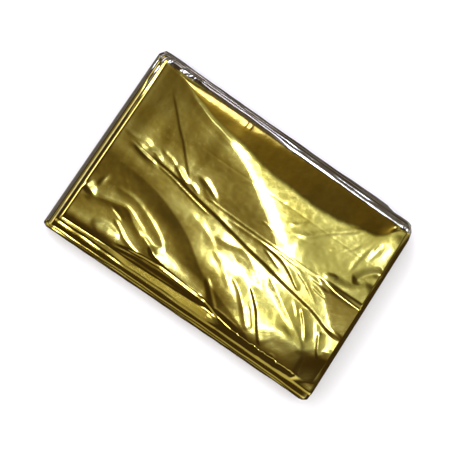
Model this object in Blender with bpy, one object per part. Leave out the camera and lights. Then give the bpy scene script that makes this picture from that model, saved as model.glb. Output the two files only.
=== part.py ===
"""Emergency foil blanket, folded flat.

One cut sheet of metallised film, gold on one side and silver on the other. It is folded
into a long strip, and the strip is laid back and forth into a flat packet. The solid is
that back-and-forth section of layers. Each layer stands for the strip's own plies.

Frame: origin at the centre of the underside, +X along the long side of the packet,
+Y across it, +Z up. The gold face of the top layer looks up.
"""

import math

import bmesh
import bpy

MM = 0.001

# Layers of the folded strip, in millimetres.
LAYER_THICK = 1.0
LAYER_GAP = 0.3
PITCH = LAYER_THICK + LAYER_GAP
HALF_LENGTH = 70.0
BOTTOM_FREE_EDGE = 46.7

# Bottom layer first. The bends say how far the layer's far fold reaches from the
# middle line: at the -X end, half way along and at the +X end. The layers fold over at
# +Y and -Y in turn, and the top one has its free edge there. The ends are the X
# positions of the layer's two short sides.
LAYER_COLUMNS = ("bend_left", "bend_middle", "bend_right", "end_left", "end_right")
LAYER_ROWS = (
    (47.7, 47.9, 47.7, -69.6, 69.4),
    (47.3, 47.5, 47.7, -69.9, 69.8),
    (48.0, 48.1, 47.9, -70.1, 69.6),
    (47.6, 47.7, 48.1, -70.2, 70.1),
    (47.8, 48.0, 48.8, -70.3, 70.2),
    (47.9, 47.9, 48.4, -70.4, 70.3),
    (47.3, 47.2, 47.3, -70.3, 70.4),
    (48.0, 48.2, 48.7, -70.4, 70.4),
    (46.4, 46.2, 46.2, -70.2, 70.3),
    (48.0, 48.0, 48.8, -70.1, 70.2),
    (45.0, 44.7, 44.6, -69.7, 70.0),
    (47.6, 47.4, 48.5, -69.4, 69.8),
    (43.4, 43.0, 42.8, -69.1, 69.6),
    (44.6, 45.3, 45.9, -67.6, 69.4),
    (40.4, 40.3, 40.5, -67.2, 69.3),
)

# Rounded corners of the packet, seen from above: radius at the -X and the +X end.
BACK_CORNERS = (3.0, 4.0)
FRONT_CORNERS = (1.0, 1.2)

# Loose loft of the packet, all of it upward and growing from the underside to the top.
LOFT_DOME = 1.0
LOFT_WAVE = 0.4

# Main folds of the top layer: soft ridges from (x1, y1) to (x2, y2). The layers below
# follow them less and less.
FOLD_COLUMNS = ("x1", "y1", "x2", "y2", "height", "width")
FOLD_ROWS = {
    "long_diagonal": (-63.0, 4.0, 69.0, -19.0, 1.5, 5.0),
    "back_corner_diagonal": (-61.0, 40.0, 1.0, 23.0, 1.2, 6.5),
    "centre_spread": (-9.0, 25.0, 25.0, -8.0, 0.9, 8.0),
    "front_leaf": (-65.0, -30.0, -23.0, -34.0, 1.2, 5.0),
    "front_diagonal": (-51.0, -14.0, 9.0, -40.0, 1.1, 4.5),
    "front_right": (19.0, -18.0, 39.0, -42.0, 1.2, 4.5),
    "right_corner_fan": (31.0, 24.0, 67.0, 38.0, 0.8, 6.0),
}
FOLD_FADE_POWER = 5.0

# Mesh detail.
SPANS = 14
END_INSETS = (1.0, 3.0)
BEND_STEPS = 5
LAYER_STEPS = 2
TOP_LAYER_STEPS = 20

GOLD = (0.52, 0.42, 0.11, 1.0)
GOLD_ROUGHNESS = 0.22


def remove_startup_objects():
    for scene_object in list(bpy.data.objects):
        bpy.data.objects.remove(scene_object, do_unlink=True)


def stations():
    """Shares of the length at which the section is set, closer together at the ends."""
    length = 2.0 * HALF_LENGTH
    near_end = [inset / length for inset in END_INSETS]
    first = near_end[-1]
    inner = [first + (1.0 - 2.0 * first) * step / SPANS for step in range(1, SPANS)]
    far_end = [1.0 - share for share in reversed(near_end)]
    return [0.0] + near_end + inner + far_end + [1.0]


def along(left, middle, right, share):
    """A value that curves from left through middle to right as share goes from 0 to 1."""
    bow = 2.0 * (left + right - 2.0 * middle)
    slope = right - left - bow
    return left + slope * share + bow * share * share


def corner_inset(share, side):
    """How far the rounded corners draw the fold on this side in, at this share."""
    radii = BACK_CORNERS if side > 0 else FRONT_CORNERS
    length = 2.0 * HALF_LENGTH
    inset = 0.0
    for radius, distance in zip(radii, (share * length, (1.0 - share) * length)):
        run = max(0.0, radius - distance)
        inset += radius - math.sqrt(radius * radius - run * run)
    return inset


def section_path(rows, share):
    """Centre line of the strip at one station, from the bottom free edge to the top one.

    Each point is (y, z, normal y, normal z, layer). The normal points to the gold face,
    and the layer is a number that runs from one layer's index to the next round a bend.
    """
    radius = PITCH / 2.0
    path = []
    start_y = corner_inset(share, -1) - BOTTOM_FREE_EDGE
    for number, row in enumerate(rows):
        side = 1.0 if number % 2 == 0 else -1.0
        is_top = number == len(rows) - 1
        reach = along(row["bend_left"], row["bend_middle"], row["bend_right"], share)
        reach -= corner_inset(share, side)
        bend_depth = 0.0 if is_top else radius + LAYER_THICK / 2.0
        end_y = side * (reach - bend_depth)
        height = LAYER_THICK / 2.0 + number * PITCH
        steps = TOP_LAYER_STEPS if is_top else LAYER_STEPS
        for step in range(steps + 1):
            y = start_y + (end_y - start_y) * step / steps
            path.append((y, height, 0.0, side, float(number)))
        if is_top:
            break
        for step in range(1, BEND_STEPS):
            angle = math.pi * step / BEND_STEPS
            radial_y = side * math.sin(angle)
            radial_z = -math.cos(angle)
            y = end_y + radius * radial_y
            z = height + radius + radius * radial_z
            path.append((y, z, -side * radial_y, -side * radial_z, number + step / BEND_STEPS))
        start_y = end_y
    return path


def layer_x(rows, layer, share):
    """X position on a layer, or between two layers round a bend, at a share of its length."""
    below = rows[int(layer)]
    above = rows[min(int(layer) + 1, len(rows) - 1)]
    blend = layer - int(layer)
    left = below["end_left"] + (above["end_left"] - below["end_left"]) * blend
    right = below["end_right"] + (above["end_right"] - below["end_right"]) * blend
    return left + (right - left) * share


def fold_height(folds, x, y):
    """Height of the main folds over the flat top layer at (x, y)."""
    height = 0.0
    for fold in folds:
        run_x = fold["x2"] - fold["x1"]
        run_y = fold["y2"] - fold["y1"]
        run = math.hypot(run_x, run_y)
        forward = ((x - fold["x1"]) * run_x + (y - fold["y1"]) * run_y) / run
        beside = ((y - fold["y1"]) * run_x - (x - fold["x1"]) * run_y) / run
        beyond = max(0.0, -forward, forward - run)
        distance = math.hypot(beside, beyond) / fold["width"]
        height = max(height, fold["height"] * math.exp(-distance * distance))
    return height


def lifted(folds, stack_height, x, y, z):
    """The height of a point of the flat stack once the packet's loft and folds are in."""
    share = z / stack_height
    dome = LOFT_DOME * max(0.0, 1.0 - (x / 80.0) ** 2) * max(0.0, 1.0 - (y / 60.0) ** 2)
    wave = LOFT_WAVE * (1.0 + math.sin(0.055 * x + 0.09 * y) * math.cos(0.07 * y - 0.03 * x))
    fade = share ** FOLD_FADE_POWER
    return z + share * (dome + wave) + fade * fold_height(folds, x, y)


def blanket_mesh():
    """The closed solid: the section's two faces, lofted along X, with strips at its edges."""
    rows = [dict(zip(LAYER_COLUMNS, row)) for row in LAYER_ROWS]
    folds = [dict(zip(FOLD_COLUMNS, row)) for row in FOLD_ROWS.values()]
    stack_height = len(rows) * PITCH - LAYER_GAP
    surface = bmesh.new()
    loops = []
    for share in stations():
        gold_side = []
        silver_side = []
        for y, z, normal_y, normal_z, layer in section_path(rows, share):
            x = layer_x(rows, layer, share)
            for offset, verts in ((0.5, gold_side), (-0.5, silver_side)):
                side_y = y + offset * LAYER_THICK * normal_y
                side_z = z + offset * LAYER_THICK * normal_z
                high_z = lifted(folds, stack_height, x, side_y, side_z)
                verts.append(surface.verts.new((x * MM, side_y * MM, high_z * MM)))
        loops.append(gold_side + silver_side[::-1])
    for loop, next_loop in zip(loops, loops[1:]):
        for index in range(len(loop)):
            after = (index + 1) % len(loop)
            surface.faces.new((loop[index], loop[after], next_loop[after], next_loop[index]))
    for loop in (loops[0], loops[-1]):
        for index in range(len(loop) // 2 - 1):
            across = len(loop) - 1 - index
            surface.faces.new((loop[index], loop[index + 1], loop[across - 1], loop[across]))
    bmesh.ops.recalc_face_normals(surface, faces=surface.faces)
    mesh = bpy.data.meshes.new("foil_blanket")
    surface.to_mesh(mesh)
    surface.free()
    return mesh


def gold_film():
    material = bpy.data.materials.new("gold_film")
    material.use_nodes = True
    shader = material.node_tree.nodes["Principled BSDF"]
    shader.inputs["Base Color"].default_value = GOLD
    shader.inputs["Roughness"].default_value = GOLD_ROUGHNESS
    shader.inputs["Metallic"].default_value = 1.0
    return material


def main():
    remove_startup_objects()
    mesh = blanket_mesh()
    mesh.materials.append(gold_film())
    blanket = bpy.data.objects.new("foil_blanket", mesh)
    bpy.context.scene.collection.objects.link(blanket)


main()
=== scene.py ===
"""Looks of the folded emergency foil blanket: one thin sheet of gold and silver film."""

import math

import bpy
import numpy as np
from mathutils import Euler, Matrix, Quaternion


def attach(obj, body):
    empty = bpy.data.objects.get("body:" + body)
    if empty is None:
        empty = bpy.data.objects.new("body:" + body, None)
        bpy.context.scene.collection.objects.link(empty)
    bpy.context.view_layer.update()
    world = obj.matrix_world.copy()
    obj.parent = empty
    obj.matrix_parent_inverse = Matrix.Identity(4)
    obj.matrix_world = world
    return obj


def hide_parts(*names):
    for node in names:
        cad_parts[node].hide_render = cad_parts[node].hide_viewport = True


MM = 0.001

# Fifteen plies of film make the strip, and fifteen layers of the strip the packet. Its
# sizes are in millimetres. +X is its right end and +Y its back, where the folds show
# silver.
LAYERS = 15
LAYER_THICK = 1.0
LAYER_GAP = 0.3
PITCH = LAYER_THICK + LAYER_GAP
TOP = LAYERS * PITCH - LAYER_GAP
PLIES = 15
HALF_LENGTH = 70.0
BOTTOM_FREE_EDGE = 46.7
FILM_THICK = 0.012

# Bottom layer first: how far its far fold reaches from the middle line at the left end,
# half way and at the right end, and where its two short sides are.
LAYER_COLUMNS = ("bend_left", "bend_middle", "bend_right", "end_left", "end_right")
LAYER_ROWS = np.array((
    (47.7, 47.9, 47.7, -69.6, 69.4),
    (47.3, 47.5, 47.7, -69.9, 69.8),
    (48.0, 48.1, 47.9, -70.1, 69.6),
    (47.6, 47.7, 48.1, -70.2, 70.1),
    (47.8, 48.0, 48.8, -70.3, 70.2),
    (47.9, 47.9, 48.4, -70.4, 70.3),
    (47.3, 47.2, 47.3, -70.3, 70.4),
    (48.0, 48.2, 48.7, -70.4, 70.4),
    (46.4, 46.2, 46.2, -70.2, 70.3),
    (48.0, 48.0, 48.8, -70.1, 70.2),
    (45.0, 44.7, 44.6, -69.7, 70.0),
    (47.6, 47.4, 48.5, -69.4, 69.8),
    (43.4, 43.0, 42.8, -69.1, 69.6),
    (44.6, 45.3, 45.9, -67.6, 69.4),
    (40.4, 40.3, 40.5, -67.2, 69.3),
))
LAYER = {name: LAYER_ROWS[:, column] for column, name in enumerate(LAYER_COLUMNS)}

# Rounded corners of the packet seen from above: radius at the left and the right end.
BACK_CORNERS = (3.0, 4.0)
FRONT_CORNERS = (1.0, 1.2)
# How much shorter the far folds of these layers are at the back right, and from where
# along the strip on.
SHORT_FOLDS = ((4, 1.4), (6, 0.6))
SHORT_FOLDS_START = 126.0
SHORT_FOLDS_RUN = 0.6
# Ripples along every fold: height, radians over the length and shift from layer to layer.
FOLD_RIPPLES = ((0.12, 23.0, 2.1), (0.07, 61.0, 4.7))

# The upper half of a front fold is pressed flat: the share of its rise that comes at
# once, and how suddenly.
PRESSED_SHARE = 0.3
PRESSED_POWER = 10
# The lengths over which a layer thins out towards its short sides, at the left and the
# right, and the share of its height that is left there. Then both for the front folds.
TOP_NOSES = (2.7, 2.6)
LOWER_NOSES = (1.6, 1.5)
END_PINCH = 0.3
FRONT_NOSE = 3.2
FRONT_PINCH = 0.55

# The whole stack swells by this much at the middle of its top, out to these half sizes,
# and waves a little.
LOFT_DOME = 1.0
LOFT_DOME_REACH = (80.0, 60.0)
LOFT_WAVE = 0.12
# Under the loose top film the last two layers are pressed flatter, between these sides.
PRESSED_X = (-67.0, 69.0)
PRESSED_Y = (-44.0, 41.0)
PRESSED_RUN = 5.0
TOP_PRESS = 0.3

# The layers whose silver back strips show, and the strips' profiles as pairs of the gap
# from the tip of the fold and the height, at the left and at the right.
BACK_STRIPS = (
    ("back_strip_top", 12,
     ((0, 0.36), (3.2, 0.0), (8, 0.0)),
     ((0, -0.33), (1.0, -0.06), (1.3, 0.0), (2.3, 0.0), (2.5, -0.02), (3.3, -0.2), (4.5, -0.2),
      (6, 0.0), (8, 0.0))),
    ("back_strip_under", 10,
     ((0, 0.16), (1.0, 0.17), (2.2, 0.0), (8, 0.0)),
     ((0, -0.28), (0.8, -0.04), (1.0, 0.0), (1.7, 0.0), (2.2, -0.05), (3.0, 0.0), (8, 0.0))),
)
# Where a strip ends on the path from its layer on, the run of that end, how far it
# stands off the folded sheet and how many samples the folded sheet has beside its end.
BACK_STRIP_END = 2.07
BACK_STRIP_END_RUN = 0.02
BACK_STRIP_LIFT = 0.03
BACK_STRIP_STEPS = 9
# The profiles grow from here on round the fold, and the left one passes into the right
# one over this stretch of x. The right one ends before the corner.
BACK_STRIP_GROWTH = (0.4, 0.3)
BACK_STRIP_BLEND = (-12.0, 18.0)
BACK_STRIP_STOP = (60.8, 1.5)


def smooth(value):
    """0 below 0, 1 above 1, and a smooth rise between."""
    clipped = np.clip(value, 0.0, 1.0)
    return clipped * clipped * (3.0 - 2.0 * clipped)


def quarter_round(value):
    """The height of a quarter circle of radius 1 at this distance from its foot."""
    run = 1.0 - np.clip(value, 0.0, 1.0)
    return np.sqrt(np.maximum(0.0, 1.0 - run * run))


def corner_inset(share, back):
    """How far the rounded corners draw a fold in, at this share of the length."""
    length = 2.0 * HALF_LENGTH
    inset = np.zeros_like(share)
    for end in (0, 1):
        radius = np.where(back, BACK_CORNERS[end], FRONT_CORNERS[end])
        distance = share * length if end == 0 else (1.0 - share) * length
        inset += radius * (1.0 - quarter_round(distance / radius))
    return inset


def fold_reach(layer, share):
    """How far the far fold of these layers lies from the middle line."""
    left, middle, right = (LAYER[name][layer] for name in LAYER_COLUMNS[:3])
    bow = 2.0 * (left + right - 2.0 * middle)
    reach = left + (right - left - bow) * share + bow * share * share
    ripple = sum(height * np.sin(share * turns + layer * shift) for height, turns, shift in FOLD_RIPPLES)
    short = sum(depth * (layer == short_layer) for short_layer, depth in SHORT_FOLDS)
    short = short * smooth((share * 2.0 * HALF_LENGTH - SHORT_FOLDS_START) / SHORT_FOLDS_RUN)
    return reach + ripple - short - corner_inset(share, layer % 2 == 0)


def fold_line(layer, share):
    """Y of the line where these layers start to turn over."""
    side = np.where(layer % 2 == 0, 1.0, -1.0)
    depth = np.where(layer == LAYERS - 1, 0.0, (PITCH + LAYER_THICK) / 2.0)
    far = side * (fold_reach(np.maximum(layer, 0), share) - depth)
    near = corner_inset(share, layer < -1) - BOTTOM_FREE_EDGE
    return np.where(layer < 0, near, far)


def layer_end(name, place):
    """X of a short side at a place between two layers."""
    low = np.floor(place).astype(int)
    high = np.minimum(low + 1, LAYERS - 1)
    return LAYER[name][low] + (LAYER[name][high] - LAYER[name][low]) * (place - low)


def pair_middle(layer):
    """Height of the middle of the pair of layers that a front fold joins."""
    pair = (layer + 1) // 2
    return np.where(pair == 0, LAYER_THICK / 2.0, LAYER_THICK / 2.0 + PITCH * (2 * pair - 0.5))


def loft(x, y, z):
    """Height of a point of the flat stack in the loosely lofted packet."""
    share = z / TOP
    reach_x, reach_y = LOFT_DOME_REACH
    dome = LOFT_DOME * np.maximum(0.0, 1.0 - (x / reach_x) ** 2) * np.maximum(0.0, 1.0 - (y / reach_y) ** 2)
    # Two slow waves that cross, about 60 and 80 millimetres long.
    wave = LOFT_WAVE * (1.0 + np.sin(0.055 * x + 0.09 * y) * np.cos(0.07 * y - 0.03 * x))
    return z + share * (dome + wave)


def grown(value, start_and_run):
    """0 before the start, 1 past the run from it, and a smooth rise between."""
    start, run = start_and_run
    return smooth((value - start) / run)


def back_strip_heights(x, y, share, path):
    """Height of the back folds' silver strips over their flat layers."""
    height = np.zeros_like(y)
    for _, layer, left_profile, right_profile in BACK_STRIPS:
        gap = fold_reach(layer, share) - y
        left = np.interp(gap, *zip(*left_profile))
        right = np.interp(gap, *zip(*right_profile))
        turn = path - 2.0 * layer - 1.0
        weight = grown(turn, BACK_STRIP_GROWTH)
        weight = weight * smooth((BACK_STRIP_END - 1.0 - turn) / BACK_STRIP_END_RUN)
        right = right * (1.0 - grown(x, BACK_STRIP_STOP))
        height = height + weight * (left + (right - left) * grown(x, BACK_STRIP_BLEND))
    return height


def film_point(share, offset, path):
    """A point of the folded film, in millimetres.

    share runs along the strip's panel from -X to +X. offset is the ply's height in the
    strip, towards gold. path is 2 k + u on layer k, with u from 0 to 1 along the layer,
    and 2 k + 1 + u round the fold from layer k to the next.
    """
    layer = np.minimum(np.floor(path / 2.0).astype(int), LAYERS - 1)
    turn = np.clip(path - 2 * layer - 1.0, 0.0, 1.0)
    along = np.clip(path - 2 * layer, 0.0, 1.0)
    side = np.where(layer % 2 == 0, 1.0, -1.0)
    far = fold_line(layer, share)
    near = fold_line(layer - 1, share)
    angle = math.pi * turn
    radius = PITCH / 2.0 - side * offset
    in_fold = turn > 0.0
    height = LAYER_THICK / 2.0 + layer * PITCH
    nose_y, nose_z = np.sin(angle), -np.cos(angle)
    pressed = (side < 0.0) & (turn > 0.5)
    climb = np.clip(2.0 * turn - 1.0, 0.0, 1.0)
    nose_y = np.where(pressed, 1.0 - climb, nose_y)
    pressed_z = PRESSED_SHARE * (1.0 - (1.0 - climb) ** PRESSED_POWER) + (1.0 - PRESSED_SHARE) * climb
    nose_z = np.where(pressed, pressed_z, nose_z)
    y = np.where(in_fold, far + side * radius * nose_y, near + (far - near) * along)
    z = np.where(in_fold, height + PITCH / 2.0 + radius * nose_z, height + side * offset)

    place = layer + turn
    left = layer_end("end_left", place)
    right = layer_end("end_right", place)
    x = left + (right - left) * share

    is_top_pair = place > LAYERS - 2.5
    left_nose, right_nose = (np.where(is_top_pair, *noses) for noses in zip(TOP_NOSES, LOWER_NOSES))
    pinch = quarter_round((x - left) / left_nose) * quarter_round((right - x) / right_nose)
    pinch = END_PINCH + (1.0 - END_PINCH) * pinch
    front_reach = -fold_line(np.where(layer % 2 == 1, layer, layer - 1), share)
    front_reach = front_reach + (PITCH + LAYER_THICK) / 2.0
    pinch = pinch * (FRONT_PINCH + (1.0 - FRONT_PINCH) * quarter_round((y + front_reach) / FRONT_NOSE))
    low_middle = pair_middle(layer)
    high_middle = pair_middle(np.minimum(layer + 1, LAYERS - 1))
    low = low_middle + (z - low_middle) * pinch
    high = high_middle + (z - high_middle) * pinch
    z = low + (high - low) * turn
    return x, y, loft(x, y, z) + back_strip_heights(x, y, share, path)


def ply_samples(fine, coarse):
    """Shares and offsets along the strip's own back and forth, ply by ply, and the ply.

    The outer two plies are fine, the next two are between, and the rest are coarse.
    """
    shares, offsets, plies = [], [], []
    spacing = LAYER_THICK / (PLIES - 1)
    for ply in range(PLIES):
        depth = min(ply, PLIES - 1 - ply, 2)
        count = (fine, (fine + coarse) // 2, coarse)[depth]
        # The samples are closer at both ends.
        run = 0.5 - 0.5 * np.cos(np.linspace(0.0, math.pi, count))
        run = 0.5 * run + 0.5 * np.linspace(0.0, 1.0, count)
        if ply % 2 == 1:
            run = run[::-1]
        shares.append(run)
        offsets.append(np.full(count, -LAYER_THICK / 2.0 + spacing * ply))
        plies.append(np.full(count, ply))
    return np.concatenate(shares), np.concatenate(offsets), np.concatenate(plies)


def path_samples(flat_steps, turn_steps, top_steps):
    """Places along the back and forth of the layers, closer where a back strip ends."""
    strip_layers = [layer for _, layer, _, _ in BACK_STRIPS]
    places = []
    for layer in range(LAYERS):
        steps = top_steps if layer == LAYERS - 1 else flat_steps
        run = np.linspace(0.0, 1.0, steps + 1)
        if layer - 1 in strip_layers:
            run = np.concatenate((np.linspace(0.0, BACK_STRIP_END - 2.0, BACK_STRIP_STEPS), run[1:]))
        places.append(2.0 * layer + run)
        if layer < LAYERS - 1:
            places.append(2.0 * layer + 1.0 + np.linspace(0.0, 1.0, turn_steps + 1)[1:-1])
    return np.concatenate(places)


def grid_mesh(name, points, keep=None):
    """A mesh of quads over a grid of points in millimetres, without the faces not kept."""
    rows, columns = points.shape[:2]
    index = np.arange(rows * columns).reshape(rows, columns)
    quads = np.stack((index[:-1, :-1], index[1:, :-1], index[1:, 1:], index[:-1, 1:]), axis=-1)
    quads = quads[keep] if keep is not None else quads.reshape(-1, 4)
    used, faces = np.unique(quads, return_inverse=True)
    mesh = bpy.data.meshes.new(name)
    mesh.from_pydata((points.reshape(-1, 3)[used] * MM).tolist(), [], faces.reshape(-1, 4).tolist())
    mesh.update()
    mesh.shade_smooth()
    piece = bpy.data.objects.new(name, mesh)
    bpy.context.scene.collection.objects.link(piece)
    return piece


# Small crumpled facets of the back strips. Columns: x and y of the foot, x and y of the
# top, width and slope. Their sides and their far end fall at the steeper slope, and they
# grow from here on round the fold.
FACET_FALL = 0.7
FACET_GROWTH = (0.6, 0.25)
FACET_ROWS = (
    (-63.2, 44.6, -64.6, 40.3, 2.0, 0.11),
    (-54.9, 44.0, -57.9, 40.2, 2.8, 0.11),
    (-51.9, 43.8, -54.9, 40.3, 1.9, 0.12),
    (-49.8, 45.0, -52.2, 40.8, 2.0, 0.10),
    (-47.4, 44.2, -49.0, 42.0, 1.4, 0.12),
    (63.2, 43.8, 65.3, 40.4, 1.0, 0.2),
    (66.1, 40.0, 67.0, 43.0, 1.3, 0.03),
)

# Broad swells of the top film. Columns: x, y, long radius, short radius, turn in degrees
# and height.
SWELL_ROWS = (
    # two upright swells at the left
    (-57, 12, 10, 6.0, 80, 0.36),
    (-46, 13, 9, 3.0, 100, 0.08),
    # the round dome at the front right
    (45, -31.5, 9, 5.0, 5, 0.28),
    # the start of the long crease
    (-52, 1.0, 6.5, 1.5, -12, 0.28),
    # the bright fold in front of the back right corner
    (66.0, 31, 9, 3.5, 75, 0.5),
    # two small ones at the front left
    (-59.6, -19.0, 2.6, 1.0, 75, 0.25),
    (-46, -37.5, 6, 3.0, 5, 0.35),
)

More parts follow.
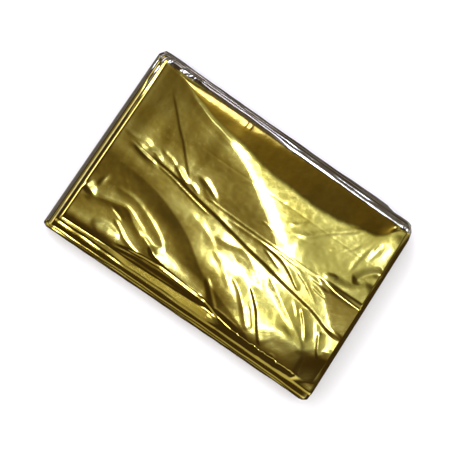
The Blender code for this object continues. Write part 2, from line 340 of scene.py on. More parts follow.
# Creases of the top film. Columns: height, width to the left, width to the right, soft,
# length of the start, length of the end, points. A crease runs through its points, stands
# this high or, below 0, lies this deep, and falls away within these widths to the left
# and to the right of its run. soft is 0 for a sharp edge and 1 for a round one, and the
# crease grows and dies out over the lengths at its start and its end.
CREASE_ROWS = (
    # --- upper half ---
    # the long soft ridge over the middle, with its bright flank to the left
    (0.40, 14.0, 26.0, 0.5, 10, 10, ((-32, 28), (-20, 25), (-11, 21.5), (-4, 16.5), (4, 11), (12, 5.5),
                                     (19, 0.5), (25, -3))),
    # the light rim under the edge of the back band
    (0.07, 1.0, 4.0, 0.5, 10, 8, ((-52, 36.0), (-44, 33.3), (-36, 30.4), (-31, 29.6), (-26, 28.2),
                                  (-18, 27))),
    # two short strokes across the cream strip
    (0.05, 0.9, 0.9, 0.5, 1, 1, ((-21.8, 35.6), (-21.2, 39.8))),
    (0.05, 0.9, 0.9, 0.5, 1, 1, ((-19.2, 35.8), (-18.8, 39.8))),
    # the thin fold down from the back left corner
    (0.10, 7.0, 0.9, 0.2, 8, 4, ((-57, 32), (-50, 25), (-45, 19.6), (-40, 15), (-35, 9.5), (-28, 2))),
    # the straight old fold
    (-0.02, 0.8, 0.8, 0.3, 6, 4, ((-33, 17.8), (-10, 17.6), (20, 18.0), (40, 18.0), (66.5, 18.0))),
    # the fan of soft ridges from the back right corner
    (0.17, 2.2, 2.6, 0.7, 8, 8, ((50, 30), (44, 25), (38, 20.5), (33, 16), (28, 11.5), (21, 9))),
    (0.09, 1.6, 2.0, 0.7, 4, 4, ((18, 27), (14.5, 22), (11, 17))),
    (0.08, 1.5, 1.5, 0.7, 3, 3, ((26, 17.5), (22.5, 14.0), (18, 11.5))),
    (0.07, 1.3, 1.5, 0.7, 3, 3, ((47, 18.5), (43, 14.5), (39, 12))),
    (0.07, 1.3, 1.5, 0.7, 3, 3, ((52, 24), (49, 19), (45, 15.5))),
    (0.09, 1.8, 2.0, 0.7, 6, 6, ((58, 29), (55, 22), (53.5, 15), (53, 8))),
    (0.22, 3.0, 3.2, 0.7, 6, 8, ((66, 38), (62.5, 31), (59.5, 25), (57.5, 17))),
    (-0.10, 0.8, 0.9, 0.6, 2, 2, ((60.0, 29), (58.6, 26), (58, 23))),
    # the dark hollow and the bright fold at the right side
    (-0.40, 2.8, 4.0, 0.6, 3, 3, ((68, 17.5), (63, 15), (59.5, 11), (57, 6))),
    (0.30, 5.5, 4.0, 0.8, 5, 6, ((67, 11), (63, 6.5), (58, 3.0), (50, 1.5), (42, 0))),
    (0.14, 3.0, 2.0, 0.9, 3, 3, ((51, 4.5), (47, 3.0), (43, 1.5))),
    # small bright bumps above the long crease
    (0.17, 3.0, 1.8, 0.5, 3, 4, ((-51.5, 2.6), (-48.4, 4.0), (-46.0, 3.4), (-42.5, 2.2))),
    (0.12, 1.6, 2.4, 0.4, 3, 3, ((-46.5, 7.4), (-43, 6.4), (-40, 5.8), (-36, 3.9))),
    (0.20, 3.0, 1.6, 0.5, 3, 5, ((-38.0, 4.9), (-34.4, 3.2), (-31.5, 1.6), (-26.0, 0.0))),
    (0.12, 2.0, 1.5, 0.5, 3, 3, ((-29.4, 1.4), (-26.0, 1.3), (-21.5, -0.8))),
    (0.20, 2.6, 2.6, 0.5, 4, 6, ((-27.0, 6.6), (-22.6, 6.0), (-18.0, 4.0), (-12.0, 0.8))),
    (0.10, 1.6, 2.0, 0.5, 3, 4, ((-22.0, 3.6), (-18.0, 1.6), (-12.5, 0.2))),
    (0.12, 2.4, 2.6, 0.5, 5, 4, ((-65, 5.6), (-58, 5.0), (-53.5, 6.0), (-49, 4.6))),
    (0.05, 0.8, 0.8, 0.6, 2, 2, ((7, 6.0), (15, 5.0))),
    # --- middle ---
    (0.06, 0.8, 0.9, 0.4, 8, 4, ((-22, 0.6), (0, -0.2), (20, -0.6), (38, -0.4), (52, 0.3), (67, 0.6))),
    (0.07, 0.9, 1.6, 0.4, 8, 4, ((-8, -2.2), (12, -2.2), (28, -2.8), (38, -3.6))),
    (0.10, 1.1, 1.6, 0.6, 4, 4, ((49, -1.8), (56, -2.3), (66, -2.2))),
    # the long deep crease across, its upper side standing over the lower
    (0.22, 5.0, 1.4, 0.5, 5, 10, ((-59, 4.0), (-50, 2.5), (-42, 1.8), (-30, 0.0), (-20, -2.0),
                                  (-10, -3.6), (0, -5.6))),
    (0.26, 11.0, 1.5, 0.5, 12, 6, ((-14, -3.2), (0, -5.6), (10, -7.6), (20, -9.2), (30, -11.2),
                                   (40, -12.8), (50, -14.6), (57, -17.0), (66.5, -19.4))),
    (0.12, 1.4, 1.2, 0.4, 3, 3, ((-58.5, 2.6), (-52, 1.0), (-44, 0.0))),
    (0.10, 1.0, 1.0, 0.3, 3, 5, ((-44, 0.2), (-36, -0.8), (-28, -2.6), (-18, -4.6), (-12, -5.6))),
    (0.12, 1.1, 0.9, 0.4, 3, 1, ((56, -16.8), (61, -17.4), (66.5, -18.2))),
    # between the double ridge and the crease
    (0.16, 3.0, 1.1, 0.3, 6, 3, ((12, -2.6), (20, -3.0), (26, -4.2), (31, -6.6), (35, -9.2),
                                 (39, -11.2))),
    (0.11, 2.0, 0.9, 0.3, 3, 3, ((14, -3.4), (19, -5.2), (26, -7.8))),
    (0.09, 2.0, 1.2, 0.4, 3, 5, ((32, -3.8), (38, -5.6), (43, -8.4), (49, -12))),
    (0.12, 2.0, 1.4, 0.4, 4, 3, ((38, -2.4), (44, -2.8), (51, -3.4))),
    (0.09, 1.4, 1.0, 0.4, 3, 3, ((41, -5.2), (46, -6.2), (51, -6.8))),
    # --- lower half ---
    # the great fold, bright towards the crease and dark towards the front
    (0.29, 11.0, 8.0, 0.4, 50, 6, ((-67, -7.0), (-50, -8.0), (-38, -9.8), (-28, -13.0), (-18, -17.4),
                                   (-9, -23.2), (-2, -28.2), (8, -32.2), (19, -36.0), (28, -39.6),
                                   (33, -43))),
    # light and olive streaks on it
    (0.05, 3.0, 3.0, 0.5, 4, 6, ((-23, -8.5), (-16, -10.2), (-8, -13.0), (-2, -17.0))),
    (0.16, 5.0, 3.0, 0.6, 5, 5, ((-7, -11.6), (1, -11.0), (8, -9.8), (14, -12.0), (20, -15.8),
                                 (25, -19.6))),
    (0.10, 4.0, 3.0, 0.6, 4, 4, ((5, -13.0), (11, -13.2), (16, -16.0), (21, -19.5))),
    (0.08, 4.0, 2.5, 0.6, 4, 4, ((-4, -17.0), (3, -19.5), (9, -24.5), (14, -28.0))),
    (0.20, 5.0, 2.2, 0.5, 4, 3, ((9, -21.5), (15, -24.8), (20, -29.5), (25, -35.0), (29, -38.6))),
    (0.08, 1.2, 1.0, 0.5, 3, 3, ((22, -28), (25.5, -32), (30, -38))),
    (0.24, 8.0, 1.2, 0.3, 4, 3, ((18, -20.5), (22, -23.4), (27, -28.2), (30, -32.4), (33, -36.5),
                                 (37, -41))),
    (0.22, 9.0, 3.6, 0.5, 6, 3, ((22, -12.0), (30, -16.2), (38, -21.0), (45, -24.8), (51, -28.8),
                                 (55, -34))),
    (0.10, 4.0, 0.9, 0.4, 3, 3, ((38, -15), (41.5, -18), (44.5, -21.5))),
    (0.20, 5.0, 1.1, 0.3, 2, 3, ((43, -16), (47, -20), (50, -24), (53, -28.5))),
    (0.10, 2.6, 1.2, 0.5, 3, 3, ((52, -17.5), (55.5, -22), (57, -26))),
    (0.24, 4.0, 1.1, 0.3, 2, 2, ((55.8, -20), (58.2, -25), (60, -28.4), (62.5, -31))),
    (0.14, 2.0, 3.0, 0.6, 3, 3, ((61, -27.2), (64, -26), (67, -24.2))),
    (0.16, 4.0, 7.0, 0.7, 6, 4, ((31, -36), (35, -33.0), (41, -30.0), (48, -30.4), (55, -34))),
    # the split of the dark side
    (0.14, 1.8, 2.2, 0.7, 4, 3, ((0, -27.5), (5, -32.6), (9.5, -36.8), (12, -39))),
    (0.50, 6.5, 1.3, 0.6, 4, 5, ((-28, -31.0), (-23.5, -33.8), (-16, -35.2), (-5, -36.4), (6, -38.0))),
    # curved folds at the lower left
    (0.13, 2.2, 5.0, 0.5, 7, 5, ((-54, -17.6), (-44, -17.9), (-37, -20.0), (-30, -23.2), (-24.5, -26.5),
                                 (-20.5, -31))),
    (0.05, 1.2, 3.0, 0.5, 5, 4, ((-60, -25), (-52, -23.6), (-45, -22.3), (-38, -24.8), (-31, -28))),
    (0.20, 5.0, 3.6, 0.35, 5, 3, ((-64, -29), (-57, -26), (-50, -24.2), (-44, -23.2), (-38, -27.2),
                                  (-30, -31.2), (-22, -35))),
    (0.14, 2.2, 1.4, 0.6, 3, 3, ((-33, -29), (-28, -31), (-22, -34.2))),
    (-0.12, 2.2, 0.9, 0.4, 3, 3, ((-51, -25.8), (-46, -27.4), (-42, -29))),
    (0.13, 1.5, 1.8, 0.5, 3, 8, ((-47, -29.6), (-43, -31.6), (-38, -34.6), (-32, -36.6), (-24, -37.8))),
    (0.16, 3.0, 5.0, 0.7, 3, 4, ((-54, -38), (-51.5, -35.6), (-48, -34.4), (-43, -35.0), (-40, -37))),
    (0.40, 4.5, 2.6, 0.6, 1.5, 5, ((-66, -24.0), (-63, -25.0), (-58, -26.8))),
    # crinkles along the front edge
    (0.08, 0.9, 1.2, 0.4, 4, 4, ((-23, -34.8), (-17, -35.6), (-10, -36.8), (0, -36.8), (7, -38),
                                 (13, -39.6), (17, -42))),
    (0.07, 0.9, 1.2, 0.4, 4, 4, ((-22, -37.6), (-8, -38.0), (4, -38.6), (12, -40.4))),
    (0.12, 0.9, 1.0, 0.4, 5, 4, ((-30, -42.2), (-24, -41.4), (-15, -41.0), (0, -41.8), (8, -41.8),
                                 (14, -43))),
    (0.10, 0.9, 1.0, 0.4, 3, 3, ((9, -37.8), (16, -38.2), (25, -39.6))),
    (0.10, 1.0, 1.0, 0.6, 1, 1, ((41.5, -41.2), (44, -40.8), (46, -42.6))),
    (0.10, 1.0, 1.0, 0.6, 1, 1, ((56.5, -42.4), (58, -41.8), (59.5, -42.6))),
    (0.12, 1.0, 1.0, 0.6, 1, 1, ((62.5, -43), (65, -42.6), (67, -42.8))),
)

# Flat facets of the top film: how soft the bends at the sides are, and the sides, which
# run clockwise round the facet. Each side is x and y of its start, x and y of its end and
# the slope at which the facet climbs from it.
PANEL_ROWS = (
    # the brown triangle at the right side
    (0.5, ((59, -16.2, 44, -1.5, 0.15), (44, -0.6, 68, -0.4, 2.0), (70, -1.9, 70, -18.0, 1.0),
           (68, -18.2, 58, -15.8, 0.9))),
)

# Dents are facets turned over: each falls from its sides.
DENT_ROWS = (
    # the dark hollow at the front right corner
    (0.4, ((57, -46, 55.5, -31.5, 1.3), (55.5, -32, 67, -28.6, 0.20))),
)

# Steps down to the right of a line. Columns: drop, width, length of the start, length of
# the end, points.
STEP_ROWS = (
    (0.75, 0.9, 14, 14, ((-42, -38.6), (-34, -37.2), (-26, -36.2), (-18, -35.9), (-8, -36.4), (2, -36.9),
                         (8, -37.8), (14, -39.8), (24, -41.5), (40, -42.5))),
    (0.30, 0.8, 10, 8, ((-44, -40.8), (-30, -38.8), (-12, -38.6), (2, -39.2), (10, -40.2), (16, -42.4))),
)

# The loose top film stands over the layers under it. From its crest line it falls to its
# free edge at the back as one steeper band.
BAND_ROWS = np.array(((-70, 40.1), (-58, 39.2), (-50, 36.8), (-45, 34.9), (-40, 33.2), (-35, 31.4),
                     (-28, 30.0), (-18, 29.4), (-8, 27.3), (0, 26.0), (10, 25.6), (17, 25.4), (24, 24.9),
                     (32, 25.4), (40, 26.6), (47, 28.8), (52, 29.6), (56, 31.0), (59, 33.6), (61, 36.2),
                     (62.6, 38.4), (66, 39.8), (72, 39.9)))
FREE_EDGE = 40.4
LEAST_BAND = 0.05
# What the film drops by at the free edge itself, and over what run.
EDGE_DROP = 0.12
EDGE_DROP_RUN = 0.6
# The last strip before the free edge is steeper still: its width for each x.
EDGE_STRIP_ROWS = np.array(((-66, 0.0), (-58, 0.0), (-54, 0.9), (-50, 2.1), (-45, 3.2), (-40, 3.9),
                           (-30, 4.3), (-20, 4.2), (-10, 3.4), (0, 2.2), (12, 0.8), (24, 0.0)))
EDGE_STRIP_SOFT = 1.1
EDGE_STRIP_SLOPE = 0.12

# How high the loose top film stands over the flat layers, in millimetres: a column for
# each x and a row for each y, the first row being the crest line of the back band.
LOFT_X = (-64, -50, -38, -25, -12, 0, 12, 25, 40, 52, 65)
LOFT_ROWS = (
    (27, (0.05, 1.28, 2.06, 2.38, 2.50, 2.65, 2.65, 2.55, 2.28, 2.00, 1.30)),
    (20, (0.15, 1.15, 1.84, 2.20, 2.55, 2.80, 2.85, 2.68, 2.33, 2.06, 1.70)),
    (12, (0.55, 1.04, 1.54, 1.95, 2.33, 2.71, 2.99, 2.92, 2.41, 2.17, 1.92)),
    (4, (1.02, 1.28, 1.70, 2.06, 2.27, 2.56, 2.97, 3.19, 2.69, 2.44, 2.24)),
    (-4, (1.35, 1.60, 1.84, 2.03, 2.24, 2.42, 2.88, 3.26, 2.99, 2.62, 2.38)),
    (-12, (1.24, 1.46, 1.73, 2.08, 2.48, 2.80, 3.03, 3.25, 3.08, 2.83, 2.70)),
    (-20, (1.22, 1.42, 1.64, 1.94, 2.60, 3.14, 3.48, 3.60, 3.38, 3.10, 3.05)),
    (-24, (1.40, 1.58, 1.78, 2.06, 2.69, 3.38, 3.78, 3.84, 3.57, 3.24, 3.22)),
    (-28, (1.65, 1.72, 1.95, 2.24, 2.80, 3.38, 4.04, 4.03, 3.84, 3.42, 3.20)),
    (-35, (2.00, 2.20, 2.45, 2.74, 3.04, 3.50, 4.02, 4.24, 4.10, 3.64, 2.40)),
    (-40, (2.36, 2.62, 2.70, 2.88, 3.12, 3.58, 4.08, 4.42, 4.24, 3.50, 1.50)),
    (-43, (2.04, 2.30, 2.56, 2.82, 3.04, 3.46, 3.80, 4.14, 4.00, 3.20, 1.00)),
)
LEAST_LOFT = 0.2
# Behind this y the rows slide, so that the first one stays on the crest line.
SLIDE_START = 12.0
# How many samples to each side the loft and the crest line are evened out over.
LOFT_BLUR = 3
CREST_BLUR = 2
# How wide the softened crest line is, and the band's width from which it is soft.
CREST_SOFT = 2.2
CREST_SOFT_BAND = (3.0, 4.0)

# The rims, where the film rises from the fold's edge: how wide they are at the left and
# at the right, and the front one's y and its width for each x. The front rim's width also
# waves, from this x on: height, radians to the millimetre and shift of a quick wave, and
# radians and shift of the slow wave that it is multiplied by.
LEFT_RIM = 0.9
RIGHT_RIM = 2.9
FRONT_RIM = -44.4
FRONT_RIM_ROWS = ((-66, 2.7), (-38, 3.2), (-12, 3.7), (10, 4.1), (15, 3.6), (20, 2.6), (66, 2.4))
FRONT_RIM_WAVES = ((0.25, 0.9, 2.0, 0.23, 0.0), (0.2, 1.7, 0.0, 0.41, 1.0))
FRONT_RIM_WAVES_START = (16.0, 6.0)
# A narrow bevel along the left end: its width, the part of it under the rim, its slope
# and the share of the height that it may take.
LEFT_BEVEL = 1.5
LEFT_BEVEL_FOOT = 0.6
LEFT_BEVEL_SLOPE = 0.38
LEFT_BEVEL_SHARE = 0.8

# Creases, swells and facets are scaled by this, and die out before the free edge.
RELIEF_SCALE = 0.6
RELIEF_END = 1.5
# The slight unevenness of the top film: how many waves, their lengths from and to, and
# their height for each millimetre of length.
WOBBLE_WAVES = 26
WOBBLE_LENGTHS = (2.5, 9.0)
WOBBLE_HEIGHT = 0.0003


def smooth_path(points, steps=6):
    """A smooth line through the points."""
    points = np.array(points, dtype=float)
    padded = np.vstack((2 * points[0] - points[1], points, 2 * points[-1] - points[-2]))
    line = []
    for index in range(1, len(padded) - 2):
        before, start, end, after = padded[index - 1:index + 3]
        for t in np.arange(steps) / steps:
            line.append(0.5 * (2 * start + (end - before) * t
                               + (2 * before - 5 * start + 4 * end - after) * t ** 2
                               + (3 * start - before - 3 * end + after) * t ** 3))
    line.append(points[-1])
    return np.array(line)


def to_line(x, y, start_run, end_run, line):
    """The gap to a line, the side of it and how far the line has grown there."""
    best = np.full(x.shape, 1e9)
    side = np.ones_like(best)
    place = np.zeros_like(best)
    travelled = 0.0
    for start, end in zip(line[:-1], line[1:]):
        step = end - start
        length = math.hypot(*step)
        step_x, step_y = step / length
        off_x, off_y = x - start[0], y - start[1]
        along = np.clip(off_x * step_x + off_y * step_y, 0.0, length)
        gap = np.hypot(off_x - along * step_x, off_y - along * step_y)
        closer = gap < best
        best = np.where(closer, gap, best)
        side = np.where(closer, np.sign(step_x * off_y - step_y * off_x), side)
        place = np.where(closer, travelled + along, place)
        travelled += length
    return best, side, smooth(place / start_run) * smooth((travelled - place) / end_run)


def crease_heights(x, y, height, left, right, soft, start_run, end_run, points):
    """What one crease adds to the height at each of these places."""
    line = smooth_path(points)
    reach = max(left, right)
    near = (x > line[:, 0].min() - reach) & (x < line[:, 0].max() + reach)
    near &= (y > line[:, 1].min() - reach) & (y < line[:, 1].max() + reach)
    gap, side, ends = to_line(x[near], y[near], start_run, end_run, line)
    width = np.where(side > 0, left, right) * (0.4 + 0.6 * ends)
    run = np.clip(gap / width, 0.0, 1.0)
    added = np.zeros_like(x)
    added[near] = height * ends * (1.0 - run) ** 2 * (1.0 + 2.0 * soft * run)
    return added


def step_heights(x, y, drop, width, start_run, end_run, points):
    """A step down to the right of a line run through these points."""
    gap, side, ends = to_line(x, y, start_run, end_run, smooth_path(points))
    return -drop * ends * smooth(gap / width) * (side < 0)


def swell_heights(x, y, centre_x, centre_y, long_radius, short_radius, turn, height):
    """What one broad swell adds to the height at each of these places."""
    angle = math.radians(turn)
    off_x, off_y = x - centre_x, y - centre_y
    along = (off_x * math.cos(angle) + off_y * math.sin(angle)) / long_radius
    across = (off_y * math.cos(angle) - off_x * math.sin(angle)) / short_radius
    return height * np.exp(-along ** 2 - across ** 2)


def evened(values, axis, reach):
    """The values with a running mean taken along one axis, three times over."""
    for _ in range(3):
        pad = [(reach, reach) if index == axis else (0, 0) for index in range(values.ndim)]
        sums = np.cumsum(np.pad(values, pad, mode="edge"), axis=axis)
        sums = np.insert(sums, 0, 0.0, axis=axis)
        width = 2 * reach + 1
        ahead = np.take(sums, np.arange(width, sums.shape[axis]), axis=axis)
        behind = np.take(sums, np.arange(sums.shape[axis] - width), axis=axis)
        values = (ahead - behind) / width
    return values


def soft_curve(place, stops, heights):
    """The smooth curve through the heights at the stops, read off at these places."""
    stops = np.array(stops, dtype=float)
    slopes = np.gradient(heights, stops, axis=0)
    place = np.clip(place, stops[0], stops[-1])
    index = np.clip(np.searchsorted(stops, place) - 1, 0, len(stops) - 2)
    gap = stops[index + 1] - stops[index]
    share = (place - stops[index]) / gap
    if heights.ndim == 1:
        low, high = heights[index], heights[index + 1]
        low_slope, high_slope = slopes[index], slopes[index + 1]
    else:
        low, high, low_slope, high_slope = (
            np.take_along_axis(table, rows[None], axis=0)[0]
            for table in (heights, slopes) for rows in (index, index + 1))
    rise = share * share * (3.0 - 2.0 * share)
    return (low + (high - low) * rise + gap * low_slope * share * (1.0 - share) ** 2
            - gap * high_slope * share ** 2 * (1.0 - share))


def panel_heights(x, y, soft, sides):
    """A raised flat facet: it climbs at its own slope from each of its sides."""
    height = np.full_like(x, 1e3)
    for start_x, start_y, end_x, end_y, slope in sides:
        run_x, run_y = end_x - start_x, end_y - start_y
        length = math.hypot(run_x, run_y)
        inside = ((x - start_x) * run_y - (y - start_y) * run_x) / length
        height = np.minimum(height, slope * 0.5 * (inside + np.sqrt(inside ** 2 + soft ** 2)))
    return height


def puff(x, y):
    """Height of the loose top film over the flat layers, with no creases."""
    crest = np.minimum(soft_curve(x, BAND_ROWS[:, 0], BAND_ROWS[:, 1]), FREE_EDGE - LEAST_BAND)
    row_ys, rows = zip(*LOFT_ROWS[::-1])
    slide = y - SLIDE_START
    slid = SLIDE_START + slide * (row_ys[-1] - SLIDE_START) / (crest - SLIDE_START)
    place = np.where(slide > 0.0, slid, y)
    loose = soft_curve(place, row_ys, np.stack([soft_curve(x, LOFT_X, np.array(row)) for row in rows]))
    loose = evened(evened(loose, 0, LOFT_BLUR), 1, LOFT_BLUR)
    to_edge = np.clip(FREE_EDGE - y, 0.0, None)
    band_width = np.maximum(FREE_EDGE - crest, LEAST_BAND)
    strip = soft_curve(x, EDGE_STRIP_ROWS[:, 0], EDGE_STRIP_ROWS[:, 1])

    def dropped(gap):
        """What the edge and its strip add at this distance from the free edge."""
        softly = np.sqrt((gap - strip) ** 2 + EDGE_STRIP_SOFT)
        on_strip = EDGE_STRIP_SLOPE * 0.5 * (gap - softly + np.sqrt(strip ** 2 + EDGE_STRIP_SOFT))
        return on_strip + EDGE_DROP * (1.0 - np.exp(-gap / EDGE_DROP_RUN))

    share = np.clip(to_edge / band_width, 0.0, 1.0)
    rest = np.maximum(loose - dropped(band_width), 0.0)
    band = dropped(to_edge) + rest * share
    height = np.where(to_edge < band_width, np.minimum(band, np.maximum(loose, LEAST_LOFT)), loose)
    near = np.exp(-((y - crest) / CREST_SOFT) ** 2) * grown(band_width, CREST_SOFT_BAND)
    return height + near * (evened(height, 1, CREST_BLUR) - height)


def wobble(x, y):
    """A slight unevenness all over the top film."""
    total = np.zeros_like(x)
    chance = np.random.default_rng(7)
    for _ in range(WOBBLE_WAVES):
        wave = chance.uniform(*WOBBLE_LENGTHS)
        angle = chance.uniform(0.0, math.pi)
        phase = chance.uniform(0.0, 2.0 * math.pi)
        run = (x * math.cos(angle) + y * math.sin(angle)) * 2.0 * math.pi / wave
        # The slower inner wave keeps each wave from repeating evenly.
        total += WOBBLE_HEIGHT * wave * np.sin(run + phase + 1.3 * np.sin(run * 0.37 + phase * 3.0))
    return total


def rim_share(x, y, left, right):
    """The share of its height that the top film has reached this far in from its rims."""
    waves = sum(height * np.sin(turns * x + shift) * np.sin(slow_turns * x + slow_shift)
                for height, turns, shift, slow_turns, slow_shift in FRONT_RIM_WAVES)
    front_width = np.interp(x, *zip(*FRONT_RIM_ROWS)) + waves * grown(x, FRONT_RIM_WAVES_START)
    sides = smooth((x - left) / LEFT_RIM) * np.clip((right - x) / RIGHT_RIM, 0.0, 1.0)
    return sides * np.clip((y - FRONT_RIM) / front_width, 0.0, 1.0)


def top_relief(x, y, left, right):
    """Height that the top film has over the flat layers."""
    relief = wobble(x, y)
    for row in SWELL_ROWS:
        relief += swell_heights(x, y, *row)
    for row in CREASE_ROWS:
        relief += crease_heights(x, y, *row)
    for row in STEP_ROWS:
        relief += step_heights(x, y, *row) / RELIEF_SCALE
    facets = sum(panel_heights(x, y, *row) for row in PANEL_ROWS)
    facets = facets - sum(panel_heights(x, y, *row) for row in DENT_ROWS)
    relief += evened(evened(facets, 0, 1), 1, 1)
    height = puff(x, y) + RELIEF_SCALE * relief * smooth((FREE_EDGE - y) / RELIEF_END)
    bevel = LEFT_BEVEL_SLOPE * np.clip(left + LEFT_BEVEL - x, 0.0, LEFT_BEVEL - LEFT_BEVEL_FOOT)
    return rim_share(x, y, left, right) * (height - np.minimum(bevel, LEFT_BEVEL_SHARE * height))


# Places on the path, in film_point's terms: the last fold, at the front, and the top layer.
LAST_FOLD = 2.0 * LAYERS - 3.0
TOP_LAYER = LAST_FOLD + 1.0
# The top sheet starts a little before the last fold, and its short ends have closer
# samples over this length.
TOP_SHEET_START = LAST_FOLD - 0.04
TOP_SHEET_LENGTH = 2.0 * HALF_LENGTH - 3.5
TOP_SHEET_ENDS = 3.0


def build_folded_sheet():
    """All the plies and layers, but for the faces that the three finer meshes show."""
    shares, offsets, plies = ply_samples(fine=40, coarse=12)
    path = path_samples(flat_steps=5, turn_steps=6, top_steps=8)
    share, place = np.meshgrid(shares, path, indexing="ij")
    offset = np.broadcast_to(offsets[:, None], share.shape)
    ply = np.broadcast_to(plies[:, None], share.shape)
    x, y, z = film_point(share, offset, place)
    inner = np.ones_like(x)
    for across, (low, high) in ((x, PRESSED_X), (y, PRESSED_Y)):
        inner = inner * smooth((across - low) / PRESSED_RUN) * smooth((high - across) / PRESSED_RUN)
    floor = (LAYERS - 2) * PITCH
    z = np.where(z > floor, floor + (z - floor) * (1.0 - TOP_PRESS * inner), z)
    on_top = (ply[:-1, :-1] == PLIES - 1) & (ply[1:, :-1] == PLIES - 1)
    on_top &= place[:-1, :-1] >= TOP_SHEET_START
    for _, layer, _, _ in BACK_STRIPS:
        on_strip = (ply[:-1, :-1] == 0) & (ply[1:, :-1] == 0)
        on_strip &= place[:-1, :-1] >= 2 * layer + 1
        on_strip &= place[:-1, 1:] <= 2 * layer + BACK_STRIP_END
        on_top |= on_strip
    return grid_mesh("folded_sheet", np.stack((x, y, z), axis=-1), ~on_top)


def build_top_sheet():
    """The loose gold film on top, from just before the last fold to its free edge."""
    inner = np.linspace(TOP_SHEET_ENDS, TOP_SHEET_LENGTH - TOP_SHEET_ENDS, 300)
    ends = np.linspace(0.0, TOP_SHEET_ENDS, 13)[:-1]
    along = np.concatenate((ends, inner, TOP_SHEET_LENGTH - ends[::-1]))
    path = np.concatenate((np.linspace(TOP_SHEET_START, LAST_FOLD, 5)[:-1],
                           np.linspace(LAST_FOLD, TOP_LAYER, 15)[:-1],
                           np.linspace(TOP_LAYER, TOP_LAYER + 1.0, 210)))
    share, place = np.meshgrid(along / along[-1], path, indexing="ij")
    x, y, z = film_point(share, np.full_like(share, LAYER_THICK / 2.0), place)
    z = z + np.where(place > TOP_LAYER, top_relief(x, y, x[:1, :], x[-1:, :]), 0.0)
    return grid_mesh("top_sheet", np.stack((x, y, z), axis=-1))


def facet_heights(x, y, start_x, start_y, end_x, end_y, width, slope):
    """A small facet that climbs from its start to its end and falls off steeply beyond."""
    length = math.hypot(end_x - start_x, end_y - start_y)
    run_x, run_y = (end_x - start_x) / length, (end_y - start_y) / length
    along = (x - start_x) * run_x + (y - start_y) * run_y
    across = np.abs((y - start_y) * run_x - (x - start_x) * run_y)
    inside = np.minimum(FACET_FALL * (width / 2.0 - across), FACET_FALL * (length - along))
    return np.maximum(0.0, np.minimum(slope * along, inside))


def build_back_strip(name, layer):
    """The silver top of a layer at its back fold, with the crumples near the corners."""
    turns = np.concatenate((np.linspace(0.0, 1.0, 21)[:-1], np.linspace(1.0, BACK_STRIP_END - 1.0, 30)))
    share, turn = np.meshgrid(np.linspace(0.0, 1.0, 330), turns, indexing="ij")
    offset = np.full_like(share, -LAYER_THICK / 2.0 - BACK_STRIP_LIFT)
    x, y, z = film_point(share, offset, 2.0 * layer + 1.0 + turn)
    crumple = sum(facet_heights(x, y, *row) for row in FACET_ROWS) * grown(turn, FACET_GROWTH)
    z = z + crumple * smooth((BACK_STRIP_END - 1.0 - turn) / BACK_STRIP_END_RUN)
    return grid_mesh(name, np.stack((x, y, z), axis=-1))


def add_node(tree, kind, values=(), **settings):
    """A new node with its input values and settings."""
    node = tree.nodes.new(kind)
    for name, value in settings.items():
        setattr(node, name, value)
    for name, value in values:
        node.inputs[name].default_value = value
    return node


def film_noise(tree, coordinates, stretch, scale, detail, turn=0.0):
    """Noise over the film in millimetres, drawn out along axes turned in plan."""
    mapping = add_node(tree, "ShaderNodeMapping",
                       (("Scale", [part * MM / scale for part in stretch]),
                        ("Rotation", (0.0, 0.0, math.radians(turn)))), vector_type="TEXTURE")
    noise = add_node(tree, "ShaderNodeTexNoise", (("Scale", 1.0), ("Detail", detail), ("Roughness", 0.55)))
    tree.links.new(coordinates.outputs["Object"], mapping.inputs["Vector"])
    tree.links.new(mapping.outputs["Vector"], noise.inputs["Vector"])
    return noise.outputs[0]


def ranged(tree, source, from_range, to_range):
    """The source's range brought to another range, with soft ends."""
    names = ("From Min", "From Max", "To Min", "To Max")
    node = add_node(tree, "ShaderNodeMapRange", zip(names, (*from_range, *to_range)),
                    interpolation_type="SMOOTHSTEP")
    tree.links.new(source, node.inputs["Value"])
    return node.outputs["Result"]


def blended(tree, factor, first, second):
    """Two colours, or a colour socket and a colour, mixed by the factor."""
    node = add_node(tree, "ShaderNodeMix", data_type="RGBA")
    tree.links.new(factor, node.inputs[0])
    for socket, colour in ((node.inputs[6], first), (node.inputs[7], second)):
        if isinstance(colour, tuple):
            socket.default_value = (*colour, 1.0)
        else:
            tree.links.new(colour, socket)
    return node.outputs[2]


# The noise or sharpness of fold between which each of these sets in.
CLOUD_RANGE = (0.38, 0.66)
SHARP_FOLD_RANGE = (0.53, 0.66)
HAZE_RANGE = (0.40, 0.72)
# How much of the paler colour the sharpest folds take, a painted highlight, and what they add to the
# roughness.
FOLD_HIGHLIGHT_SHARE = 0.6
RUBBED_ROUGHNESS = 0.16
FILM_ROUGHNESS = (0.07, 0.12)
# Crinkles. Columns: stretch along x, y and z, noise scale to the millimetre, detail, turn
# in degrees and depth in millimetres.
GOLD_CRINKLES = (
    ((3.0, 1.0, 1.0), 0.22, 3.0, 35.0, 0.034),
    ((1.0, 2.6, 1.0), 0.8, 2.0, 0.0, 0.006),
    ((1.0, 1.0, 1.0), 3.0, 2.0, 0.0, 0.0012),
)
SILVER_CRINKLES = (
    ((1.0, 3.0, 3.0), 0.9, 3.0, 0.0, 0.020),
    ((1.0, 1.0, 1.0), 0.35, 3.0, 0.0, 0.040),
)


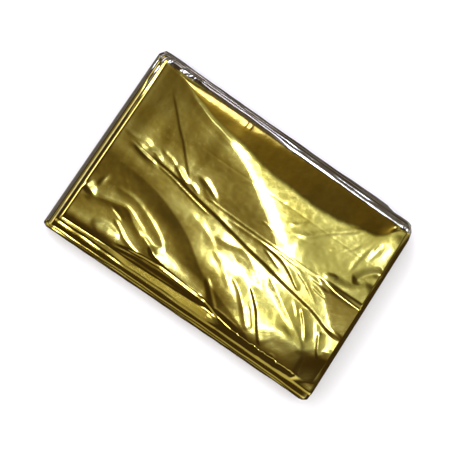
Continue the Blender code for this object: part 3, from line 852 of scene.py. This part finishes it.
def film_material(name, colour, deep_colour, fold_highlight_colour, crinkles):
    """Metallised film: uneven metal, painted paler on its sharpest folds as a painted highlight and rougher
    there, finely crinkled.
    """
    material = bpy.data.materials.new(name)
    material.use_nodes = True
    tree = material.node_tree
    shader = tree.nodes["Principled BSDF"]
    shader.inputs["Metallic"].default_value = 1.0
    coordinates = add_node(tree, "ShaderNodeTexCoord")
    geometry = add_node(tree, "ShaderNodeNewGeometry")

    cloud = film_noise(tree, coordinates, (1.6, 1.0, 1.0), 0.07, 3.0)
    metal = blended(tree, ranged(tree, cloud, CLOUD_RANGE, (0.0, 1.0)), colour, deep_colour)
    # The sharpest folds take a paler colour, a painted highlight, and more roughness.
    fold_highlight_and_rub = ranged(tree, geometry.outputs["Pointiness"], SHARP_FOLD_RANGE, (0.0, FOLD_HIGHLIGHT_SHARE))
    metal = blended(tree, fold_highlight_and_rub, metal, fold_highlight_colour)
    tree.links.new(metal, shader.inputs["Base Color"])

    haze = film_noise(tree, coordinates, (1.0, 1.0, 1.0), 0.45, 4.0)
    hazy = ranged(tree, haze, HAZE_RANGE, FILM_ROUGHNESS)
    rough = add_node(tree, "ShaderNodeMath", ((1, RUBBED_ROUGHNESS),), operation="MULTIPLY_ADD")
    tree.links.new(fold_highlight_and_rub, rough.inputs[0])
    tree.links.new(hazy, rough.inputs[2])
    tree.links.new(rough.outputs[0], shader.inputs["Roughness"])

    normal = None
    for stretch, scale, detail, turn, depth in crinkles:
        bump = add_node(tree, "ShaderNodeBump", (("Strength", 1.0), ("Distance", depth * MM)))
        tree.links.new(film_noise(tree, coordinates, stretch, scale, detail, turn), bump.inputs["Height"])
        if normal is not None:
            tree.links.new(normal, bump.inputs["Normal"])
        normal = bump.outputs["Normal"]
    tree.links.new(normal, shader.inputs["Normal"])
    return material


# The soft lights of the studio: each is a glow on the sky. Columns: x and y of its
# direction, turn in degrees, long and short radius, how hard its edge is, strength, colour.
GLOW_ROWS = (
    # the main light: its core, two halos and a wide warm one
    (0.149, 0.238, -30, 0.105, 0.030, 1.5, 8.0, (0.94, 1.0, 1.42)),
    (0.150, 0.236, -30, 0.15, 0.060, 1.0, 0.8, (0.90, 1.0, 1.22)),
    (0.200, 0.306, -30, 0.20, 0.055, 1.0, 0.34, (0.98, 1.0, 0.75)),
    (0.105, 0.142, -30, 0.25, 0.075, 1.0, 0.16, (1.0, 0.78, 0.38)),
    # behind the packet: a faint brown light, and a small bright one with a tan one round it
    (0.02, 0.58, 0, 0.14, 0.09, 1.0, 0.14, (1.0, 0.72, 0.26)),
    (0.045, 0.74, 0, 0.034, 0.032, 1.2, 3.6, (1.0, 0.93, 1.15)),
    (0.04, 0.67, 0, 0.05, 0.05, 1.0, 0.40, (1.0, 0.80, 0.45)),
    # low lights in the four corners of the room, at its left side and at its back
    (0.66, 0.66, -45, 0.28, 0.11, 1.0, 0.9, (1.0, 0.97, 0.92)),
    (-0.67, 0.67, 45, 0.28, 0.09, 1.0, 0.8, (1.0, 0.97, 0.92)),
    (0.66, -0.66, 45, 0.28, 0.11, 1.0, 0.8, (1.0, 0.97, 0.92)),
    (-0.66, -0.66, -45, 0.28, 0.11, 1.0, 0.8, (1.0, 0.97, 0.92)),
    (-0.95, 0.0, 90, 0.32, 0.06, 1.0, 0.22, (1.0, 0.97, 0.92)),
    (0.0, 0.95, 0, 0.32, 0.06, 1.0, 0.24, (1.0, 0.97, 0.92)),
    # the long bright light at the left, and a dim and a small bright one in front
    (-0.60, 0.15, 90, 0.30, 0.06, 1.0, 7.5, (1.0, 0.96, 1.22)),
    (0.05, -0.88, 0, 0.40, 0.07, 1.0, 0.42, (1.0, 0.90, 0.60)),
    (-0.018, -0.88, 0, 0.042, 0.07, 2.0, 9.0, (1.0, 1.0, 1.15)),
)
# A glow has no height on the sky, so its mapping is this long upwards.
GLOW_HEIGHT = 1000.0
# The glows are full from this height of the sky's unit ball on and nothing at 0.
GLOW_RISE = 0.2
AMBIENT = (0.045, 0.028, 0.016)


def vector_step(tree, operation, first, second):
    """What a vector operation makes of two sockets."""
    node = add_node(tree, "ShaderNodeVectorMath", operation=operation)
    tree.links.new(first, node.inputs[0])
    tree.links.new(second, node.inputs["Scale" if operation == "SCALE" else 1])
    return node.outputs["Value" if operation == "DOT_PRODUCT" else "Vector"]


def number_step(tree, operation, source, value=0.0):
    """What an operation makes of a socket's number and, where it takes one, a fixed value."""
    node = add_node(tree, "ShaderNodeMath", ((1, value),), operation=operation)
    tree.links.new(source, node.inputs[0])
    return node.outputs["Value"]


def sky_glow(tree, sky, x, y, turn, long_radius, short_radius, edge, strength, colour):
    """One soft light on the sky, brightest at its middle."""
    mapping = add_node(tree, "ShaderNodeMapping",
                       (("Location", (x, y, 0.0)), ("Rotation", (0.0, 0.0, math.radians(turn))),
                        ("Scale", (long_radius, short_radius, GLOW_HEIGHT))), vector_type="TEXTURE")
    tree.links.new(sky, mapping.inputs["Vector"])
    off = mapping.outputs["Vector"]
    gap = number_step(tree, "POWER", vector_step(tree, "DOT_PRODUCT", off, off), edge)
    falloff = number_step(tree, "EXPONENT", number_step(tree, "MULTIPLY", gap, -0.5))
    glow = add_node(tree, "ShaderNodeVectorMath", ((0, [strength * part for part in colour]),),
                    operation="SCALE")
    tree.links.new(falloff, glow.inputs["Scale"])
    return glow.outputs["Vector"]


def build_sky():
    """A dim room with soft lights over its horizon."""
    world = bpy.data.worlds.new("studio")
    bpy.context.scene.world = world
    world.use_nodes = True
    tree = world.node_tree
    sky = add_node(tree, "ShaderNodeTexCoord").outputs["Generated"]
    glows = [sky_glow(tree, sky, *row) for row in GLOW_ROWS]
    total = glows[0]
    for glow in glows[1:]:
        total = vector_step(tree, "ADD", total, glow)
    split = add_node(tree, "ShaderNodeSeparateXYZ")
    tree.links.new(sky, split.inputs["Vector"])
    rise = ranged(tree, split.outputs["Z"], (0.0, GLOW_RISE), (0.0, 1.0))
    above = vector_step(tree, "SCALE", total, rise)
    base = add_node(tree, "ShaderNodeVectorMath", ((1, AMBIENT),))
    tree.links.new(above, base.inputs[0])
    tree.links.new(base.outputs["Vector"], tree.nodes["Background"].inputs["Color"])


def build_floor():
    """A pale floor lit by one broad light, neither of which the film mirrors."""
    light = bpy.data.lights.new("floor_fill", "SUN")
    light.energy = 2.6
    light.angle = math.radians(60.0)
    fill = bpy.data.objects.new("floor_fill", light)
    fill.rotation_euler = (math.radians(8.0), math.radians(-10.0), 0.0)
    fill.visible_glossy = False
    bpy.context.scene.collection.objects.link(fill)

    # The floor is a hair under the packet.
    bpy.ops.mesh.primitive_plane_add(size=60.0, location=(0.0, 0.0, -0.05 * MM))
    floor = bpy.context.object
    floor.name = "floor"
    floor.visible_glossy = False
    paper = bpy.data.materials.new("pale_floor")
    paper.use_nodes = True
    shader = paper.node_tree.nodes["Principled BSDF"]
    shader.inputs["Base Color"].default_value = (0.93, 0.93, 0.93, 1.0)
    shader.inputs["Roughness"].default_value = 0.9
    floor.data.materials.append(paper)


def build_camera():
    """The camera above the packet, turned about its line of sight as in the photograph."""
    azimuth = math.radians(-39.0)
    elevation = math.radians(78.23)
    roll = math.radians(72.98)
    distance = 0.5645
    target = np.array((-0.0018, -0.0032, 0.010))
    back = np.array((math.sin(azimuth) * math.cos(elevation),
                     -math.cos(azimuth) * math.cos(elevation),
                     math.sin(elevation)))
    data = bpy.data.cameras.new("camera")
    data.lens = 100.0
    camera = bpy.data.objects.new("camera", data)
    camera.location = target + back * distance
    camera.rotation_mode = "QUATERNION"
    level = Euler((math.radians(90.0) - elevation, 0.0, azimuth)).to_quaternion()
    camera.rotation_quaternion = level @ Quaternion((0.0, 0.0, 1.0), roll)
    bpy.context.scene.collection.objects.link(camera)
    bpy.context.scene.camera = camera


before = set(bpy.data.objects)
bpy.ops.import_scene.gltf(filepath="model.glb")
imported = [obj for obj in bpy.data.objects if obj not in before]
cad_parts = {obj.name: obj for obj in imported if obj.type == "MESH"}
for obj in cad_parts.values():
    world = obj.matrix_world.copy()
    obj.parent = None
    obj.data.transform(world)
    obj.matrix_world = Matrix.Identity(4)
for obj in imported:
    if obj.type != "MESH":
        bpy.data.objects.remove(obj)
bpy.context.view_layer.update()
build_camera()
build_sky()
build_floor()
# Each film's third colour is painted on its sharpest folds as a painted highlight.
gold = film_material("gold_film", colour=(0.87, 0.755, 0.19), deep_colour=(0.80, 0.66, 0.135),
                     fold_highlight_colour=(0.93, 0.86, 0.50), crinkles=GOLD_CRINKLES)
silver = film_material("silver_film", colour=(0.74, 0.73, 0.66), deep_colour=(0.66, 0.645, 0.57),
                       fold_highlight_colour=(0.85, 0.84, 0.77), crinkles=SILVER_CRINKLES)
sheet = build_folded_sheet()
top_sheet = build_top_sheet()
back_strips = [build_back_strip(name, layer) for name, layer, _, _ in BACK_STRIPS]
for piece in (sheet, top_sheet):
    piece.data.materials.append(gold)
for piece in (sheet, *back_strips):
    piece.data.materials.append(silver)
# The folded sheet's other side is silver, and so is its edge.
solid = sheet.modifiers.new("film", "SOLIDIFY")
solid.thickness = FILM_THICK * MM
solid.offset = -1.0
solid.material_offset = 1
solid.material_offset_rim = 1
for piece in (sheet, top_sheet, *back_strips):
    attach(piece, "root")
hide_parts("foil_blanket")
bpy.context.scene.view_settings.view_transform = "Standard"
